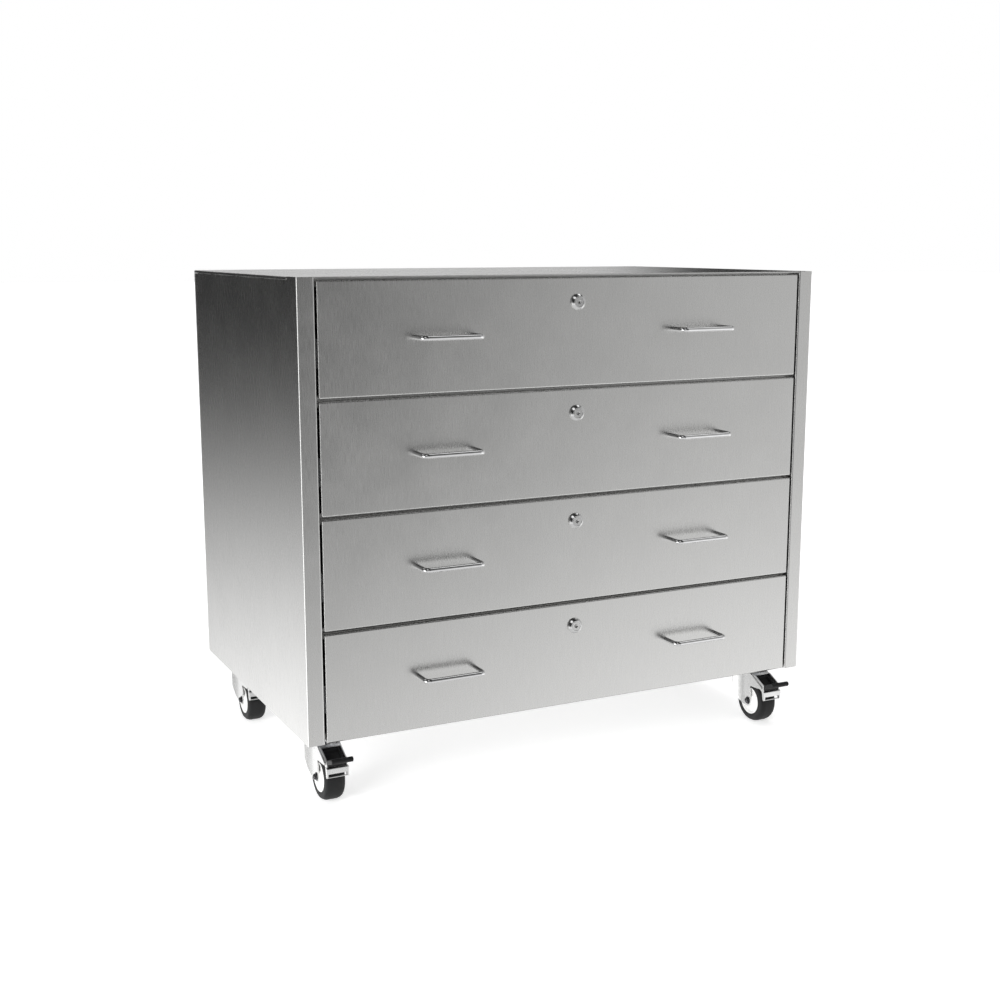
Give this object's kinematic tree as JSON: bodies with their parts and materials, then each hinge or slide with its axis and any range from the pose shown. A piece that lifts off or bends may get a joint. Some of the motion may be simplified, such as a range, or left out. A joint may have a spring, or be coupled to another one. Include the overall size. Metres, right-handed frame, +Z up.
{
  "type": "rolling tool chest",
  "caption": "Low wide brushed steel tool chest on braked swivel casters, with full-width locking drawers on full-extension slides and U-shaped rod pulls.",
  "frame": {"origin": "on the floor, under the middle of the chest's overall box, pulls included", "axes": "+Z up, the drawers open towards -Y, +X to the right seen from the front"},
  "size_m": [0.96, 0.637, 0.845],
  "materials": {
    "cabinet_steel": "fine vertical brushed stainless sheet, satin",
    "front_steel": "fine vertical brushed stainless sheet, satin",
    "box_steel": "plain satin sheet",
    "slide_steel": "bright zinc plate",
    "pull_chrome": "polished chrome rod",
    "lock_chrome": "satin chrome bezel",
    "lock_steel": "turned steel plug",
    "caster_plate": "bright zinc plate",
    "fastener_steel": "bright zinc plate",
    "caster_zinc": "bright zinc plated pressed steel",
    "axle_steel": "dark polished domed head",
    "hub_nylon": "white moulded nylon",
    "tyre_rubber": "dark grey moulded rubber",
    "brake_parts": "black moulded tread on a bright plated bracket"
  },
  "bodies": {
    "cabinet": {"side_panel_left": "cabinet_steel", "side_panel_right": "cabinet_steel", "top_panel": "cabinet_steel", "back_panel": "cabinet_steel", "base_panel": "cabinet_steel", "cross_rails": "cabinet_steel", "slide_uprights": "cabinet_steel", "slide_cabinet_members": "slide_steel", "base_bars": "cabinet_steel", "caster_top_plates": "caster_plate", "caster_kingpins": "fastener_steel", "caster_bolts": "fastener_steel"},
    "drawer_1": {"drawer_front_1": "front_steel", "drawer_box_1": "box_steel", "pulls_1": "pull_chrome", "slide_inner_members_1": "slide_steel", "lock_housing_1": "lock_chrome"},
    "slide_middle_1": {"slide_middle_members_1": "slide_steel"},
    "lock_1": {"lock_plug_1": "lock_steel"},
    "drawer_2": {"drawer_front_2": "front_steel", "drawer_box_2": "box_steel", "pulls_2": "pull_chrome", "slide_inner_members_2": "slide_steel", "lock_housing_2": "lock_chrome"},
    "slide_middle_2": {"slide_middle_members_2": "slide_steel"},
    "lock_2": {"lock_plug_2": "lock_steel"},
    "drawer_3": {"drawer_front_3": "front_steel", "drawer_box_3": "box_steel", "pulls_3": "pull_chrome", "slide_inner_members_3": "slide_steel", "lock_housing_3": "lock_chrome"},
    "slide_middle_3": {"slide_middle_members_3": "slide_steel"},
    "lock_3": {"lock_plug_3": "lock_steel"},
    "drawer_4": {"drawer_front_4": "front_steel", "drawer_box_4": "box_steel", "pulls_4": "pull_chrome", "slide_inner_members_4": "slide_steel", "lock_housing_4": "lock_chrome"},
    "slide_middle_4": {"slide_middle_members_4": "slide_steel"},
    "lock_4": {"lock_plug_4": "lock_steel"},
    "caster_fl": {"caster_fork_fl": "caster_zinc", "axle_fl": "axle_steel"},
    "wheel_fl": {"wheel_hub_fl": "hub_nylon", "tyre_fl": "tyre_rubber"},
    "brake_fl": {"brake_pedal_fl": "brake_parts"},
    "caster_fr": {"caster_fork_fr": "caster_zinc", "axle_fr": "axle_steel"},
    "wheel_fr": {"wheel_hub_fr": "hub_nylon", "tyre_fr": "tyre_rubber"},
    "brake_fr": {"brake_pedal_fr": "brake_parts"},
    "caster_rl": {"caster_fork_rl": "caster_zinc", "axle_rl": "axle_steel"},
    "wheel_rl": {"wheel_hub_rl": "hub_nylon", "tyre_rl": "tyre_rubber"},
    "brake_rl": {"brake_pedal_rl": "brake_parts"},
    "caster_rr": {"caster_fork_rr": "caster_zinc", "axle_rr": "axle_steel"},
    "wheel_rr": {"wheel_hub_rr": "hub_nylon", "tyre_rr": "tyre_rubber"},
    "brake_rr": {"brake_pedal_rr": "brake_parts"}
  },
  "joints": [
    {"name": "drawer_1_slide", "type": "slide", "parent": "cabinet", "child": "drawer_1", "axis": [0, -1, 0], "range_m": [0, 0.5]},
    {"name": "slide_middle_1_slide", "type": "slide", "parent": "cabinet", "child": "slide_middle_1", "axis": [0, -1, 0], "range_m": [0, 0.25]},
    {"name": "lock_1_turn", "type": "hinge", "parent": "drawer_1", "child": "lock_1", "pos_m": [0, -0.2815, 0.7999], "axis": [0, -1, 0], "range_deg": [0, 90]},
    {"name": "drawer_2_slide", "type": "slide", "parent": "cabinet", "child": "drawer_2", "axis": [0, -1, 0], "range_m": [0, 0.5]},
    {"name": "slide_middle_2_slide", "type": "slide", "parent": "cabinet", "child": "slide_middle_2", "axis": [0, -1, 0], "range_m": [0, 0.25]},
    {"name": "lock_2_turn", "type": "hinge", "parent": "drawer_2", "child": "lock_2", "pos_m": [0, -0.2815, 0.6171], "axis": [0, -1, 0], "range_deg": [0, 90]},
    {"name": "drawer_3_slide", "type": "slide", "parent": "cabinet", "child": "drawer_3", "axis": [0, -1, 0], "range_m": [0, 0.5]},
    {"name": "slide_middle_3_slide", "type": "slide", "parent": "cabinet", "child": "slide_middle_3", "axis": [0, -1, 0], "range_m": [0, 0.25]},
    {"name": "lock_3_turn", "type": "hinge", "parent": "drawer_3", "child": "lock_3", "pos_m": [0, -0.2815, 0.4343], "axis": [0, -1, 0], "range_deg": [0, 90]},
    {"name": "drawer_4_slide", "type": "slide", "parent": "cabinet", "child": "drawer_4", "axis": [0, -1, 0], "range_m": [0, 0.5]},
    {"name": "slide_middle_4_slide", "type": "slide", "parent": "cabinet", "child": "slide_middle_4", "axis": [0, -1, 0], "range_m": [0, 0.25]},
    {"name": "lock_4_turn", "type": "hinge", "parent": "drawer_4", "child": "lock_4", "pos_m": [0, -0.2815, 0.2515], "axis": [0, -1, 0], "range_deg": [0, 90]},
    {"name": "caster_fl_swivel", "type": "hinge", "parent": "cabinet", "child": "caster_fl", "pos_m": [-0.43, -0.1975, 0.09], "axis": [0, 0, 1], "continuous": true},
    {"name": "wheel_fl_spin", "type": "hinge", "parent": "caster_fl", "child": "wheel_fl", "pos_m": [-0.43, -0.2285, 0.04], "axis": [1, 0, 0], "continuous": true},
    {"name": "brake_fl_press", "type": "hinge", "parent": "caster_fl", "child": "brake_fl", "pos_m": [-0.43, -0.2215, 0.088], "axis": [1, 0, 0], "range_deg": [0, 4]},
    {"name": "caster_fr_swivel", "type": "hinge", "parent": "cabinet", "child": "caster_fr", "pos_m": [0.43, -0.1975, 0.09], "axis": [0, 0, 1], "continuous": true},
    {"name": "wheel_fr_spin", "type": "hinge", "parent": "caster_fr", "child": "wheel_fr", "pos_m": [0.43, -0.2285, 0.04], "axis": [1, 0, 0], "continuous": true},
    {"name": "brake_fr_press", "type": "hinge", "parent": "caster_fr", "child": "brake_fr", "pos_m": [0.43, -0.2215, 0.088], "axis": [1, 0, 0], "range_deg": [0, 4]},
    {"name": "caster_rl_swivel", "type": "hinge", "parent": "cabinet", "child": "caster_rl", "pos_m": [-0.43, 0.2345, 0.09], "axis": [0, 0, 1], "continuous": true},
    {"name": "wheel_rl_spin", "type": "hinge", "parent": "caster_rl", "child": "wheel_rl", "pos_m": [-0.43, 0.2035, 0.04], "axis": [1, 0, 0], "continuous": true},
    {"name": "brake_rl_press", "type": "hinge", "parent": "caster_rl", "child": "brake_rl", "pos_m": [-0.43, 0.2105, 0.088], "axis": [1, 0, 0], "range_deg": [0, 4]},
    {"name": "caster_rr_swivel", "type": "hinge", "parent": "cabinet", "child": "caster_rr", "pos_m": [0.43, 0.2345, 0.09], "axis": [0, 0, 1], "continuous": true},
    {"name": "wheel_rr_spin", "type": "hinge", "parent": "caster_rr", "child": "wheel_rr", "pos_m": [0.43, 0.2035, 0.04], "axis": [1, 0, 0], "continuous": true},
    {"name": "brake_rr_press", "type": "hinge", "parent": "caster_rr", "child": "brake_rr", "pos_m": [0.43, 0.2105, 0.088], "axis": [1, 0, 0], "range_deg": [0, 4]}
  ],
  "couplings": [
    {"joint": "slide_middle_1_slide", "follows": "drawer_1_slide", "ratio": 0.5},
    {"joint": "slide_middle_2_slide", "follows": "drawer_2_slide", "ratio": 0.5},
    {"joint": "slide_middle_3_slide", "follows": "drawer_3_slide", "ratio": 0.5},
    {"joint": "slide_middle_4_slide", "follows": "drawer_4_slide", "ratio": 0.5}
  ]
}
